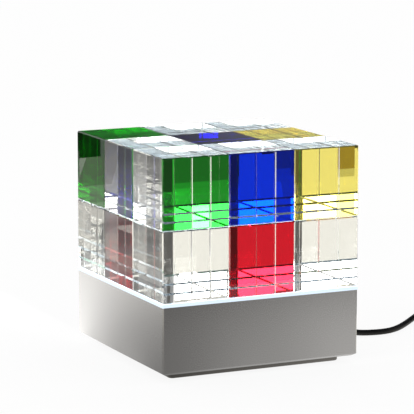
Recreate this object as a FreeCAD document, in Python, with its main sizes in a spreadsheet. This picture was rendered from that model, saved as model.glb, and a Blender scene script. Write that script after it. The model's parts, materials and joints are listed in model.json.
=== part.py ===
"""Table lamp: a block of ground glass cubes on a lit opal plate and an aluminium box base.

Millimetres, +Z up. The origin is the middle of the square the lamp stands on, +X runs along the front face to
the right and +Y to the back.
"""

import FreeCAD, Part
import Sketcher
import math
import os

Vector = FreeCAD.Vector
START, END, CENTRE = range(1, 4)  # a sketch's numbers for the points of a line or a circle
ORIGIN = -1
NEARLY = 1e-4
os.makedirs("parts", exist_ok=True)
doc = FreeCAD.newDocument("cube_table_lamp")

# ------------------------------------------------------------------ driving sizes
SIZES = {
    # glass block and opal plate
    "cube_side": 40,
    "cube_bevel": 0.6,
    "opal_thickness": 2,
    "opal_lip_height": 1.2,
    "opal_lip_width": 4,
    # base
    "housing_height": 38,
    "housing_wall": 3,
    "housing_corner_bevel": 0.8,
    "skirt_bevel_width": 2.5,
    "skirt_bevel_height": 1.5,
    "post_side": 20,
    "cover_thickness": 1.5,
    "foot_inset": 7.5,
    "foot_thickness": 3.5,
    "foot_corner_radius": 3,
    "foot_edge_radius": 0.9,
    "shadow_gap_height": 0.6,
    "shadow_gap_depth": 1.5,
    "rubber_pad_diameter": 12,
    "rubber_pad_thickness": 1.2,
    "rubber_pad_proud": 0.5,
    "rubber_pad_offset": 33,
    # fits
    "slip_clearance": 0.2,
    "thread_clearance": 0.05,
    "hole_clearance": 0.2,
    # screws
    "screw_diameter": 3,
    "screw_grip": 8,
    "sunk_head_diameter": 5.8,
    "sunk_head_height": 1.5,
    "sunk_head_depth": 0.2,
    "pan_head_diameter": 5.4,
    "pan_head_height": 1.9,
    "pan_screw_grip": 6,
    "small_screw_diameter": 2.5,
    "small_head_diameter": 4.5,
    "small_head_height": 1.5,
    "small_screw_grip": 2.4,
    # light unit
    "spreader_thickness": 3,
    "led_board_side": 86,
    "led_board_thickness": 1.6,
    "led_pitch": 15,
    "led_side": 3.5,
    "led_height": 0.8,
    "light_box_wall": 1.5,
    "light_box_margin": 0.5,
    # driver
    "driver_length": 62,
    "driver_width": 40,
    "driver_thickness": 1.6,
    "driver_shift": 4,
    "driver_hole_margin": 4,
    "standoff_diameter": 5,
    "standoff_height": 5,
    "terminal_length": 8,
    "terminal_width": 10,
    "terminal_height": 7,
    "terminal_bevel": 1,
    "capacitor_diameter": 6.3,
    "capacitor_height": 7.7,
    "capacitor_headroom": 1.2,
    "capacitor_along": 12,
    "capacitor_across": 8,
    "inductor_side": 8,
    "inductor_height": 4,
    "inductor_bevel": 1.2,
    "inductor_across": 9,
    "chip_length": 5,
    "chip_width": 4,
    "chip_height": 1.5,
    "chip_along": -11,
    "receiver_length": 18,
    "receiver_width": 13,
    "receiver_board_height": 1,
    "receiver_can_margin": 1.5,
    "receiver_can_height": 2,
    "receiver_along": -8,
    "receiver_across": -10,
    "wire_diameter": 1.6,
    "wire_spacing": 3,
    "wire_bend": 3,
    "wire_hole_diameter": 8,
    # strain relief in the right-hand wall
    "exit_height": 9.5,
    "exit_offset": 0,
    "relief_neck_diameter": 4.8,
    "relief_flange_diameter": 8,
    "relief_flange_thickness": 1.5,
    "relief_sleeve_diameter": 6.2,
    "relief_sleeve_length": 8,
    "relief_tip_diameter": 4.5,
    "relief_thread_length": 4,
    "nut_across_flats": 7,
    "nut_thickness": 2.4,
    # cord, coil and plug
    "cord_diameter": 3.5,
    "coil_outer_radius": 26.4,
    "coil_turn_gap": 0.9,
    "tie_thickness": 0.6,
    "tie_width": 5,
    "tie_side_clearance": 0.8,
    "tie_face_clearance": 0.1,
    "tie_corner_radius": 1.5,
    "grip_diameter": 7.5,
    "grip_length": 19,
    "grip_tail_diameter": 4.6,
    "grip_tail_length": 7,
    "grip_groove_width": 1,
    "grip_groove_depth": 0.5,
    "grip_groove_pitch": 2.2,
    "grip_end_bevel": 0.6,
    "barrel_diameter": 5.5,
    "barrel_length": 9.5,
    "barrel_bore": 3.4,
    "barrel_tube_diameter": 2.1,
}
COLUMNS = ("left", "centre", "right")
ROWS = ("front", "middle", "back")
LAYERS = ("lower", "upper")
TINTED = {
    ("upper", "back", "left"): "green",
    ("upper", "middle", "centre"): "blue",
    ("upper", "middle", "right"): "yellow",
    ("lower", "middle", "centre"): "red",
}
LED_ROW = 5
CORNERS = ((1, 1), (-1, 1), (-1, -1), (1, -1))
GRIP_GROOVES = 4
COIL_LAYERS = 4
COIL_HALF_TURNS = 6  # in one layer, besides the half turn that climbs to the next
COIL_FACETS = 8
ARC_SHARE = 0.45  # of the shorter run beside it, that each bend of a cord takes up

# Middle line of the cord from the strain relief to the coil, lying on the table past the base.
CORD_ROUTE = [
    (69.5, 0.0, 9.5),
    (76.0, 0.0, 9.5),
    (83.0, -0.1, 6.9),
    (89.5, -0.4, 2.75),
    (97.0, -1.25, 1.75),
    (109.5, -3.3, 1.75),
    (119.5, 0.6, 1.75),
    (130.0, 9.2, 1.75),
    (141.0, 19.9, 1.75),
    (151.5, 29.0, 2.45),
    (159.0, 34.86, 2.45),
]
# Middle line from the coil to the plug: along the coil's last heading, aside from it, and height.
PLUG_ROUTE = [
    (0.0, 0.0, 15.65),
    (8.5, 0.0, 15.65),
    (19.5, -0.4, 11.3),
    (30.5, -1.5, 5.4),
    (40.5, -3.3, 3.75),
    (48.5, -5.4, 3.75),
]

sheet = doc.addObject("Spreadsheet::Sheet", "Sizes")
for line, (alias, value) in enumerate(SIZES.items(), 1):
    sheet.set(f"A{line}", alias)
    sheet.set(f"B{line}", str(value))
    sheet.setAlias(f"B{line}", alias)
sheet_reader = doc.addObject("App::FeaturePython", "Reader")
doc.recompute()


def size(alias):
    """A driving size as a plain number."""
    return float(sheet.get(alias))


def number(rule):
    """What a rule over the sheet comes to."""
    return float(sheet_reader.evalExpression(rule))


# ------------------------------------------------------------------ places worked out from the sizes
SIDE = f"({len(COLUMNS)} * Sizes.cube_side)"
INSIDE = f"({SIDE} - 2 * Sizes.housing_wall)"
SLIP_INSIDE = f"({INSIDE} - 2 * Sizes.slip_clearance)"
FOOT_SIDE = f"({SIDE} - 2 * Sizes.foot_inset)"
FOOT_LEVEL = "Sizes.rubber_pad_proud"
HOUSING_LEVEL = f"({FOOT_LEVEL} + Sizes.foot_thickness)"
COVER_TOP = f"({HOUSING_LEVEL} + Sizes.cover_thickness)"
DRIVER_LEVEL = f"({COVER_TOP} + Sizes.standoff_height)"
DRIVER_TOP = f"({DRIVER_LEVEL} + Sizes.driver_thickness)"
POST_TOP = f"({DRIVER_TOP} + Sizes.capacitor_height + Sizes.capacitor_headroom)"
POST_HEIGHT = f"({POST_TOP} - {HOUSING_LEVEL})"
SPREADER_TOP = f"({POST_TOP} + Sizes.spreader_thickness)"
LED_BOARD_TOP = f"({SPREADER_TOP} + Sizes.led_board_thickness)"
HOUSING_TOP = f"({HOUSING_LEVEL} + Sizes.housing_height)"
GLASS_LEVEL = f"({HOUSING_TOP} + Sizes.opal_thickness)"
POST_OFFSET = f"({INSIDE} / 2 - Sizes.post_side / 2)"
TAPPED_HOLE = "(Sizes.screw_diameter + 2 * Sizes.thread_clearance)"
CLEAR_HOLE = "(Sizes.screw_diameter + 2 * Sizes.hole_clearance)"
SMALL_TAPPED = "(Sizes.small_screw_diameter + 2 * Sizes.thread_clearance)"
SMALL_CLEAR = "(Sizes.small_screw_diameter + 2 * Sizes.hole_clearance)"
DRIVER_HOLE_X = "(Sizes.driver_length / 2 - Sizes.driver_hole_margin)"
DRIVER_HOLE_Y = "(Sizes.driver_width / 2 - Sizes.driver_hole_margin)"
RIGHT_END = "(Sizes.driver_shift + Sizes.driver_length / 2)"
LEFT_END = "(Sizes.driver_shift - Sizes.driver_length / 2)"
WIRE_LEVEL = f"({DRIVER_TOP} + Sizes.terminal_height / 2)"
WIRE_COLUMN = f"({LEFT_END} - Sizes.wire_bend)"
LED_SCREW_OFFSET = f"({(LED_ROW - 2) / 2} * Sizes.led_pitch)"  # between the outer rows of chips
LIGHT_BOX_FOOT = "(Sizes.led_board_side - 2 * Sizes.light_box_margin)"
LIP_LEVEL = f"({HOUSING_TOP} - Sizes.opal_lip_height)"


# ------------------------------------------------------------------ helpers
def bind(thing, rules):
    for path, rule in rules.items():
        thing.setExpression(path, str(rule))
    return thing


def at(thing, x="0", y="0", z="0"):
    """Puts a thing where three rules say."""
    return bind(thing, {".Placement.Base.x": x, ".Placement.Base.y": y, ".Placement.Base.z": z})


def new_body(label):
    return doc.addObject("PartDesign::Body", label)


def new_sketch(body, name, lift="0", role="XY_Plane"):
    """A sketch on one of the body's own planes, lifted off it by a rule."""
    sketch = body.newObject("Sketcher::SketchObject", name)
    plane = next(feature for feature in body.Origin.OriginFeatures if feature.Role == role)
    sketch.AttachmentSupport = [(plane, "")]
    sketch.MapMode = "FlatFace"
    return bind(sketch, {".AttachmentOffset.Base.z": lift})


def constrain(sketch, rule, *what):
    """Adds a dimension to a sketch and binds it to a rule."""
    index = sketch.addConstraint(Sketcher.Constraint(*what, number(rule)))
    sketch.setExpression(f"Constraints[{index}]", rule)


def add_polyline(sketch, corners):
    """A closed outline whose corners' coordinates are rules, bound to the sketch's origin."""
    spots = [(number(x), number(y)) for x, y in corners]
    count = len(spots)
    first = sketch.GeometryCount
    for i in range(count):
        start, end = Vector(*spots[i], 0), Vector(*spots[(i + 1) % count], 0)
        sketch.addGeometry(Part.LineSegment(start, end), False)
    for i in range(count):
        following = first + (i + 1) % count
        sketch.addConstraint(Sketcher.Constraint("Coincident", first + i, END, following, START))
    for i, (x, y) in enumerate(corners):
        constrain(sketch, x, "DistanceX", ORIGIN, START, first + i, START)
        constrain(sketch, y, "DistanceY", ORIGIN, START, first + i, START)


def add_square(sketch, side, depth=None, x="0", y="0"):
    """A rectangle about a point: its side along X, and its depth along Y."""
    half_x, half_y = f"{side} / 2", f"{depth or side} / 2"
    west, east = f"{x} - {half_x}", f"{x} + {half_x}"
    south, north = f"{y} - {half_y}", f"{y} + {half_y}"
    add_polyline(sketch, [(west, south), (east, south), (east, north), (west, north)])


def add_circle(sketch, diameter, x="0", y="0"):
    circle = Part.Circle(Vector(number(x), number(y), 0), Vector(0, 0, 1), number(diameter) / 2)
    index = sketch.addGeometry(circle, False)
    constrain(sketch, diameter, "Diameter", index)
    constrain(sketch, x, "DistanceX", ORIGIN, START, index, CENTRE)
    constrain(sketch, y, "DistanceY", ORIGIN, START, index, CENTRE)


def pad(body, sketch, length, down=False):
    feature = body.newObject("PartDesign::Pad", f"{sketch.Name}_pad")
    feature.Profile = sketch
    feature.Reversed = down
    return bind(feature, {"Length": length})


def pocket(body, sketch, depth, down=True):
    """Cuts below the sketch, or above it where down is false."""
    feature = body.newObject("PartDesign::Pocket", f"{sketch.Name}_cut")
    feature.Profile = sketch
    feature.Reversed = not down
    return bind(feature, {"Length": depth})


def polar_four(body, feature, name):
    """Repeats a feature at the four corners."""
    pattern = body.newObject("PartDesign::PolarPattern", name)
    pattern.Originals = [feature]
    axis = next(line for line in body.Origin.OriginFeatures if line.Role == "Z_Axis")
    pattern.Axis = (axis, [""])
    pattern.Angle = 360
    pattern.Occurrences = len(CORNERS)
    body.Tip = pattern
    return pattern


def edges_where(feature, test):
    """Names of a feature's edges whose box passes a test."""
    doc.recompute()
    return [f"Edge{i}" for i, edge in enumerate(feature.Shape.Edges, 1) if test(edge.BoundBox)]


def bevel(body, feature, edges, width, name, height=None):
    """A chamfer, as high as it is wide or of its own height."""
    chamfer = body.newObject("PartDesign::Chamfer", name)
    chamfer.Base = (feature, edges)
    bind(chamfer, {"Size": width})
    if height:
        chamfer.ChamferType = "Two distances"
        bind(chamfer, {"Size2": height})
    return chamfer


def fillet(body, feature, edges, radius, name):
    rounding = body.newObject("PartDesign::Fillet", name)
    rounding.Base = (feature, edges)
    return bind(rounding, {"Radius": radius})


def is_upright(box):
    return box.ZLength > NEARLY and box.XLength < NEARLY and box.YLength < NEARLY


def turned(label, outline, mark):
    """A body of revolution about its own X axis, from corners given as (along, radius) rules."""
    body = new_body(label)
    sketch = new_sketch(body, f"{mark}_outline", role="XZ_Plane")
    add_polyline(sketch, outline)
    feature = body.newObject("PartDesign::Revolution", f"{mark}_turned")
    feature.Profile = sketch
    feature.ReferenceAxis = (sketch, ["H_Axis"])
    feature.Angle = 360
    return body


def cylinder(name, diameter, height, x, y, z):
    thing = doc.addObject("Part::Cylinder", name)
    bind(thing, {"Radius": f"{diameter} / 2", "Height": height})
    return at(thing, x, y, z)


def block(name, length, width, height, x, y, z):
    """A box centred on x and y, standing on z."""
    thing = doc.addObject("Part::Box", name)
    bind(thing, {"Length": length, "Width": width, "Height": height})
    return at(thing, f"{x} - {length} / 2", f"{y} - {width} / 2", z)


def fused(name, first, second):
    joined = doc.addObject("Part::Fuse", name)
    joined.Base = first
    joined.Tool = second
    return joined


def group(label, members):
    """Identical small pieces as one node of separate solids."""
    gathered = doc.addObject("Part::Compound", label)
    gathered.Links = members
    return gathered


def shaped(label, solid):
    feature = doc.addObject("Part::Feature", label)
    feature.Shape = solid
    return feature


# ------------------------------------------------------------------ glass
def make_cube(label, column, row, layer):
    """One ground glass cube with bevelled edges, seated on what is below it."""
    body = new_body(label)
    solid = body.newObject("PartDesign::AdditiveBox", f"{label}_blank")
    bind(solid, dict.fromkeys(("Length", "Width", "Height"), "Sizes.cube_side"))
    edges = body.newObject("PartDesign::Chamfer", f"{label}_bevel")
    edges.Base = (solid, [""])
    edges.UseAllEdges = True
    bind(edges, {"Size": "Sizes.cube_bevel"})
    return at(
        body,
        f"{column} * Sizes.cube_side - {SIDE} / 2",
        f"{row} * Sizes.cube_side - {SIDE} / 2",
        f"{GLASS_LEVEL} + {layer} * Sizes.cube_side",
    )


def make_glass():
    cubes = []
    for k, layer in enumerate(LAYERS):
        for j, row in enumerate(ROWS):
            for i, column in enumerate(COLUMNS):
                tint = TINTED.get((layer, row, column), "clear")
                cubes.append(make_cube(f"{tint}_cube_{layer}_{row}_{column}", i, j, k))
    return cubes


def make_opal_plate():
    """Opal plate over the whole base, with a lip that drops inside the housing."""
    body = new_body("opal_diffuser_plate")
    plate = new_sketch(body, "opal_outline")
    add_square(plate, SIDE)
    pad(body, plate, "Sizes.opal_thickness")
    lip = new_sketch(body, "opal_lip")
    add_square(lip, SLIP_INSIDE)
    pad(body, lip, "Sizes.opal_lip_height", down=True)
    well = new_sketch(body, "opal_well", "-Sizes.opal_lip_height")
    add_square(well, f"({SLIP_INSIDE} - 2 * Sizes.opal_lip_width)")
    pocket(body, well, "Sizes.opal_lip_height", down=False)
    return at(body, z=HOUSING_TOP)


# ------------------------------------------------------------------ base
def make_housing():
    """Square aluminium box, open above and below, with a screw post in each inner corner."""
    body = new_body("aluminium_housing")
    outer = new_sketch(body, "housing_outline")
    add_square(outer, SIDE)
    blank = pad(body, outer, "Sizes.housing_height")
    rim = edges_where(blank, lambda box: box.ZMax < NEARLY)
    heights = ("Sizes.skirt_bevel_height", "Sizes.skirt_bevel_width")
    skirted = bevel(body, blank, rim, heights[0], "skirt_bevel", heights[1])
    corners = edges_where(skirted, is_upright)
    bevel(body, skirted, corners, "Sizes.housing_corner_bevel", "corner_bevel")

    cross = new_sketch(body, "housing_bore")
    near, far = f"({INSIDE} / 2 - Sizes.post_side)", f"({INSIDE} / 2)"
    outline = []
    for right, back in CORNERS:
        around_post = [(far, near), (near, near), (near, far)]
        if right != back:
            around_post.reverse()
        outline += [(f"{right} * {x}", f"{back} * {y}") for x, y in around_post]
    add_polyline(cross, outline)
    pocket(body, cross, "Sizes.housing_height", down=False)

    chamber = new_sketch(body, "light_chamber", "Sizes.housing_height")
    add_square(chamber, INSIDE)
    pocket(body, chamber, f"Sizes.housing_height - {POST_HEIGHT}")
    seat = new_sketch(body, "cover_seat")
    add_square(seat, INSIDE)
    pocket(body, seat, "Sizes.cover_thickness", down=False)

    thread = new_sketch(body, "post_thread", POST_HEIGHT)
    add_circle(thread, TAPPED_HOLE, POST_OFFSET, POST_OFFSET)
    threaded = pocket(body, thread, POST_HEIGHT)
    polar_four(body, threaded, "post_threads")

    port = new_sketch(body, "relief_port", f"{SIDE} / 2", "YZ_Plane")
    add_circle(
        port,
        "(Sizes.relief_neck_diameter + 2 * Sizes.thread_clearance)",
        "Sizes.exit_offset",
        f"Sizes.exit_height - {HOUSING_LEVEL}",
    )
    pocket(body, port, "Sizes.housing_wall")
    return at(body, z=HOUSING_LEVEL)


def make_bottom_cover():
    """Thin plate inside the housing's lower rim, held up against the posts."""
    body = new_body("bottom_cover")
    outline = new_sketch(body, "cover_outline")
    add_square(outline, SLIP_INSIDE)
    pad(body, outline, "Sizes.cover_thickness")
    hole = new_sketch(body, "cover_hole")
    add_circle(hole, CLEAR_HOLE, POST_OFFSET, POST_OFFSET)
    polar_four(body, pocket(body, hole, "Sizes.cover_thickness", down=False), "cover_holes")
    rivets = new_sketch(body, "cover_stub_holes")
    for spot in driver_corners():
        add_circle(rivets, "Sizes.screw_diameter", *spot)
    pocket(body, rivets, "Sizes.cover_thickness", down=False)
    return at(body, z=HOUSING_LEVEL)


def make_foot_plate():
    """Inset foot: a rounded plate, stepped in at the top so that a shadow line shows under the housing."""
    body = new_body("foot_plate")
    outline = new_sketch(body, "foot_outline")
    add_square(outline, FOOT_SIDE)
    plate = pad(body, outline, "Sizes.foot_thickness - Sizes.shadow_gap_height")
    uprights = edges_where(plate, is_upright)
    rounded = fillet(body, plate, uprights, "Sizes.foot_corner_radius", "foot_corners")
    rim = edges_where(rounded, lambda box: box.ZMax < NEARLY)
    fillet(body, rounded, rim, "Sizes.foot_edge_radius", "foot_lower_edge")
    step = new_sketch(body, "foot_step", "Sizes.foot_thickness - Sizes.shadow_gap_height")
    add_square(step, f"({FOOT_SIDE} - 2 * Sizes.shadow_gap_depth)")
    pad(body, step, "Sizes.shadow_gap_height")

    hole = new_sketch(body, "foot_hole")
    add_circle(hole, CLEAR_HOLE, POST_OFFSET, POST_OFFSET)
    polar_four(body, pocket(body, hole, "Sizes.foot_thickness", down=False), "foot_holes")
    sink = new_sketch(body, "foot_sink")
    sunk = "(Sizes.sunk_head_diameter + 2 * Sizes.hole_clearance)"
    add_circle(sink, sunk, POST_OFFSET, POST_OFFSET)
    depth = "Sizes.sunk_head_height + Sizes.sunk_head_depth"
    countersink = pocket(body, sink, depth, down=False)
    slope = f"atan((({sunk} - {CLEAR_HOLE}) / 2) / ({depth}))"
    bind(countersink, {"TaperAngle": f"-{slope}"})
    polar_four(body, countersink, "foot_sinks")
    recess = new_sketch(body, "pad_recess")
    pad_recess = "(Sizes.rubber_pad_diameter + 2 * Sizes.hole_clearance)"
    add_circle(recess, pad_recess, "Sizes.rubber_pad_offset", "Sizes.rubber_pad_offset")
    sunk_by = "Sizes.rubber_pad_thickness - Sizes.rubber_pad_proud"
    polar_four(body, pocket(body, recess, sunk_by, down=False), "pad_recesses")
    return at(body, z=FOOT_LEVEL)


def make_rubber_pads():
    pads = []
    for i, (x, y) in enumerate(CORNERS, 1):
        spot = (f"{x} * Sizes.rubber_pad_offset", f"{y} * Sizes.rubber_pad_offset", "0")
        thick = "Sizes.rubber_pad_thickness"
        pads.append(cylinder(f"rubber_pad_{i}", "Sizes.rubber_pad_diameter", thick, *spot))
    return group("rubber_pads", pads)


def make_sunk_screws():
    """Countersunk screws through foot and cover into the posts."""
    screws = []
    for i, (x, y) in enumerate(CORNERS, 1):
        spot = (f"{x} * {POST_OFFSET}", f"{y} * {POST_OFFSET}")
        base = f"{FOOT_LEVEL} + Sizes.sunk_head_depth"
        head = doc.addObject("Part::Cone", f"sunk_head_{i}")
        head_sizes = {
            "Radius1": "Sizes.sunk_head_diameter / 2",
            "Radius2": "Sizes.screw_diameter / 2",
            "Height": "Sizes.sunk_head_height",
        }
        at(bind(head, head_sizes), *spot, base)
        length = f"{COVER_TOP} + Sizes.screw_grip - ({base})"
        shank = cylinder(f"sunk_shank_{i}", "Sizes.screw_diameter", length, *spot, base)
        screws.append(fused(f"sunk_screw_{i}", head, shank))
    return group("foot_screws", screws)


def make_pan_screws(label, spots, seat, head, height, shank, length):
    """Pan head screws standing on a level, at several spots."""
    screws = []
    for i, spot in enumerate(spots, 1):
        cap = cylinder(f"{label}_head_{i}", head, height, *spot, seat)
        whole = f"({length}) + {height}"
        pin = cylinder(f"{label}_shank_{i}", shank, whole, *spot, f"{seat} - ({length})")
        screws.append(fused(f"{label}_{i}", cap, pin))
    return group(label, screws)


# ------------------------------------------------------------------ light unit
def make_heat_spreader():
    body = new_body("heat_spreader")
    outline = new_sketch(body, "spreader_outline")
    add_square(outline, SLIP_INSIDE)
    pad(body, outline, "Sizes.spreader_thickness")
    hole = new_sketch(body, "spreader_hole")
    add_circle(hole, CLEAR_HOLE, POST_OFFSET, POST_OFFSET)
    polar_four(body, pocket(body, hole, "Sizes.spreader_thickness", down=False), "spreader_holes")
    thread = new_sketch(body, "spreader_thread")
    add_circle(thread, SMALL_TAPPED, LED_SCREW_OFFSET, LED_SCREW_OFFSET)
    threaded = pocket(body, thread, "Sizes.spreader_thickness", down=False)
    polar_four(body, threaded, "spreader_threads")
    way = new_sketch(body, "wire_way")
    add_circle(way, "Sizes.wire_hole_diameter", WIRE_COLUMN, "0")
    pocket(body, way, "Sizes.spreader_thickness", down=False)
    return at(body, z=POST_TOP)


def make_led_board():
    body = new_body("led_board")
    outline = new_sketch(body, "led_board_outline")
    add_square(outline, "Sizes.led_board_side")
    pad(body, outline, "Sizes.led_board_thickness")
    hole = new_sketch(body, "led_board_hole")
    add_circle(hole, SMALL_CLEAR, LED_SCREW_OFFSET, LED_SCREW_OFFSET)
    drilled = pocket(body, hole, "Sizes.led_board_thickness", down=False)
    polar_four(body, drilled, "led_board_holes")
    return at(body, z=SPREADER_TOP)


def make_led_chips():
    chips = []
    for row in range(LED_ROW):
        for column in range(LED_ROW):
            x, y = (f"({step} - {(LED_ROW - 1) / 2}) * Sizes.led_pitch" for step in (column, row))
            shape = ("Sizes.led_side", "Sizes.led_side", "Sizes.led_height")
            chips.append(block(f"led_{row}_{column}", *shape, x, y, LED_BOARD_TOP))
    return group("led_chips", chips)


def make_light_box():
    """White funnel from the LED board up to the opal plate's lip."""
    body = new_body("light_box")
    height = f"({LIP_LEVEL} - {LED_BOARD_TOP})"
    thick = "2 * Sizes.light_box_wall"
    lower = new_sketch(body, "light_box_foot")
    add_square(lower, LIGHT_BOX_FOOT)
    upper = new_sketch(body, "light_box_rim", height)
    add_square(upper, SLIP_INSIDE)
    flare = body.newObject("PartDesign::AdditiveLoft", "light_box_flare")
    flare.Profile = lower
    flare.Sections = [upper]
    flare.Ruled = True
    inner_lower = new_sketch(body, "light_box_floor")
    add_square(inner_lower, f"({LIGHT_BOX_FOOT} - {thick})")
    inner_upper = new_sketch(body, "light_box_mouth", height)
    add_square(inner_upper, f"({SLIP_INSIDE} - {thick})")
    hollow = body.newObject("PartDesign::SubtractiveLoft", "light_box_hollow")
    hollow.Profile = inner_lower
    hollow.Sections = [inner_upper]
    hollow.Ruled = True
    return at(body, z=LED_BOARD_TOP)


# ------------------------------------------------------------------ driver
def driver_corners():
    return [
        (f"Sizes.driver_shift + {x} * {DRIVER_HOLE_X}", f"{y} * {DRIVER_HOLE_Y}")
        for x, y in CORNERS
    ]


def make_standoffs():
    """Riveted spacers between the cover and the driver board."""
    spacers = []
    for i, spot in enumerate(driver_corners(), 1):
        barrel = cylinder(
            f"spacer_barrel_{i}",
            "Sizes.standoff_diameter",
            "Sizes.standoff_height",
            *spot,
            COVER_TOP,
        )
        stub = cylinder(
            f"spacer_stub_{i}", "Sizes.screw_diameter", "Sizes.cover_thickness", *spot, HOUSING_LEVEL
        )
        solid = fused(f"spacer_{i}", barrel, stub)
        bore = cylinder(f"spacer_bore_{i}", SMALL_TAPPED, "Sizes.standoff_height", *spot, COVER_TOP)
        hollow = doc.addObject("Part::Cut", f"spacer_bored_{i}")
        hollow.Base = solid
        hollow.Tool = bore
        spacers.append(hollow)
    return group("board_standoffs", spacers)


def make_driver_board():
    body = new_body("driver_board")
    outline = new_sketch(body, "driver_outline")
    add_square(outline, "Sizes.driver_length", "Sizes.driver_width", "Sizes.driver_shift")
    pad(body, outline, "Sizes.driver_thickness")
    holes = new_sketch(body, "driver_holes")
    for spot in driver_corners():
        add_circle(holes, SMALL_CLEAR, *spot)
    pocket(body, holes, "Sizes.driver_thickness", down=False)
    return at(body, z=DRIVER_LEVEL)


def make_bevelled_block(label, length, width, height, cut, x, y, z):
    """A block with its upper edges bevelled, centred on x and y."""
    body = new_body(label)
    outline = new_sketch(body, f"{label}_outline")
    add_square(outline, length, width)
    blank = pad(body, outline, height)
    tall = number(height) - NEARLY
    upper = edges_where(blank, lambda box: box.ZMin > tall)
    bevel(body, blank, upper, cut, f"{label}_bevel")
    return at(body, x, y, z)


def make_terminal(label, x, y):
    return make_bevelled_block(
        label,
        "Sizes.terminal_length",
        "Sizes.terminal_width",
        "Sizes.terminal_height",
        "Sizes.terminal_bevel",
        x,
        y,
        DRIVER_TOP,
    )


def make_receiver():
    """Small daughter board with its screening can, for the wireless dimmer."""
    body = new_body("dimmer_receiver")
    board = new_sketch(body, "receiver_outline")
    add_square(board, "Sizes.receiver_length", "Sizes.receiver_width")
    pad(body, board, "Sizes.receiver_board_height")
    can = new_sketch(body, "receiver_can", "Sizes.receiver_board_height")
    margin = "2 * Sizes.receiver_can_margin"
    sides = (f"(Sizes.receiver_length - 2 * {margin})", f"(Sizes.receiver_width - {margin})")
    add_square(can, *sides)
    pad(body, can, "Sizes.receiver_can_height")
    along = "Sizes.driver_shift + Sizes.receiver_along"
    return at(body, along, "Sizes.receiver_across", DRIVER_TOP)


def make_driver_parts():
    x = "Sizes.driver_shift"
    capacitor = cylinder(
        "storage_capacitor",
        "Sizes.capacitor_diameter",
        "Sizes.capacitor_height",
        f"{x} + Sizes.capacitor_along",
        "Sizes.capacitor_across",
        DRIVER_TOP,
    )
    inductor = make_bevelled_block(
        "power_inductor",
        "Sizes.inductor_side",
        "Sizes.inductor_side",
        "Sizes.inductor_height",
        "Sizes.inductor_bevel",
        x,
        "Sizes.inductor_across",
        DRIVER_TOP,
    )
    chip = block(
        "driver_chip",
        "Sizes.chip_length",
        "Sizes.chip_width",
        "Sizes.chip_height",
        f"{x} + Sizes.chip_along",
        "Sizes.inductor_across",
        DRIVER_TOP,
    )
    half = "Sizes.terminal_length / 2"
    return [
        make_terminal("input_terminal", f"{RIGHT_END} - {half}", "Sizes.exit_offset"),
        make_terminal("output_terminal", f"{LEFT_END} + {half}", "0"),
        capacitor,
        inductor,
        chip,
        make_receiver(),
    ]


# ------------------------------------------------------------------ tubes along a route
def bend_radius(before, corner, after):
    """Radius of the arc that rounds a corner of a route."""
    arriving, leaving = corner - before, after - corner
    turn = arriving.getAngle(leaving)
    return ARC_SHARE * min(arriving.Length, leaving.Length) / math.tan(turn / 2)


def rounded_wire(points):
    """Straight runs joined by tangent arcs."""
    edges = []
    here = points[0]
    for before, corner, after in zip(points, points[1:], points[2:]):
        arriving, leaving = (corner - before).normalize(), (after - corner).normalize()
        reach = ARC_SHARE * min((corner - before).Length, (after - corner).Length)
        start, end = corner - arriving * reach, corner + leaving * reach
        radius = bend_radius(before, corner, after)
        inward = (leaving - arriving).normalize()
        to_centre = math.hypot(radius, reach)
        middle = corner + inward * (to_centre - radius)
        edges += [Part.LineSegment(here, start).toShape(), Part.Arc(start, middle, end).toShape()]
        here = end
    edges.append(Part.LineSegment(here, points[-1]).toShape())
    return Part.Wire(edges)


def swept(wire, profile):
    """A solid of one profile along a wire."""
    return wire.makePipeShell([profile], True, False)


def round_profile(spot, heading, diameter):
    return Part.Wire(Part.makeCircle(diameter / 2, spot, heading))


def facet_profile(spot, heading, diameter):
    """A many-sided stand-in for the circle, with its corners on it."""
    across = heading.cross(Vector(0, 0, 1)).normalize()
    upward = across.cross(heading).normalize()
    corners = []
    for i in range(COIL_FACETS + 1):
        angle = 2 * math.pi * (i + 0.5) / COIL_FACETS
        rim = across * math.cos(angle) + upward * math.sin(angle)
        corners.append(spot + rim * (diameter / 2))
    return Part.makePolygon(corners)


def make_tube(label, points, diameter):
    """A round tube along a route, with its radii and volume printed."""
    wire = rounded_wire(points)
    solid = swept(wire, round_profile(points[0], (points[1] - points[0]).normalize(), diameter))
    radii = [round(bend_radius(*three), 1) for three in zip(points, points[1:], points[2:])]
    share = solid.Volume / (wire.Length * math.pi * diameter**2 / 4)
    print(f"{label}: {wire.Length:.1f} mm long, volume {share:.4f} of section x length, radii {radii}")
    return shaped(label, solid), wire.Length


def make_inner_lead():
    """The lead inside the base, from the strain relief up to the input terminal."""
    exit_height, aside = size("exit_height"), size("exit_offset")
    start = number(f"{SIDE} / 2 - Sizes.housing_wall - Sizes.relief_thread_length")
    finish, level = number(RIGHT_END), number(WIRE_LEVEL)
    straight = (start - finish) / 4
    route = [
        Vector(start, aside, exit_height),
        Vector(start - straight, aside, exit_height),
        Vector(finish + straight, aside, level),
        Vector(finish, aside, level),
    ]
    return make_tube("inner_lead", route, size("cord_diameter"))[0]


def make_led_wires():
    """Two wires from the output terminal up through the spreader to the LED board."""
    level, top = number(WIRE_LEVEL), number(SPREADER_TOP)
    edge, column = number(LEFT_END), number(WIRE_COLUMN)
    wires = []
    for side in (-1, 1):
        y = side * size("wire_spacing") / 2
        route = [Vector(edge, y, level), Vector(column, y, level), Vector(column, y, top)]
        wire = rounded_wire(route)
        wires.append(swept(wire, round_profile(route[0], Vector(-1, 0, 0), size("wire_diameter"))))
    return shaped("led_wires", Part.makeCompound(wires))


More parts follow.
